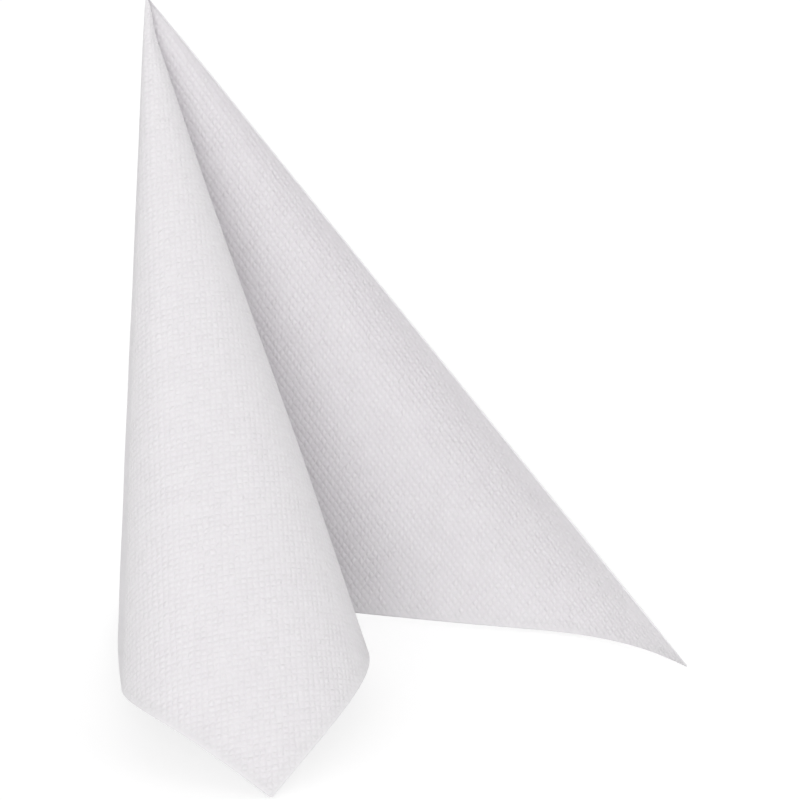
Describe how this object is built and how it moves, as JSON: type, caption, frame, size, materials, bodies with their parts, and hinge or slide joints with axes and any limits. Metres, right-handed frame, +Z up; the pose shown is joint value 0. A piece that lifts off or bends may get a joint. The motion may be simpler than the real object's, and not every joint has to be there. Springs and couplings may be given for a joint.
{
  "type": "paper napkin",
  "caption": "Square paper table napkin with a fine embossed net, opened from a quarter and folded into a standing cone with a flap in front and a wing at the side.",
  "frame": {"origin": "middle of the bounding box on the table surface that the napkin stands on", "axes": "+X to the viewer's right, where the wing points; +Y away from the viewer, behind the napkin; +Z up, towards the point"},
  "size_m": [0.1866, 0.1978, 0.1979],
  "materials": {
    "tissue_paper": "matte, fine embossed net"
  },
  "bodies": {
    "root": {"napkin": "tissue_paper"}
  },
  "joints": []
}
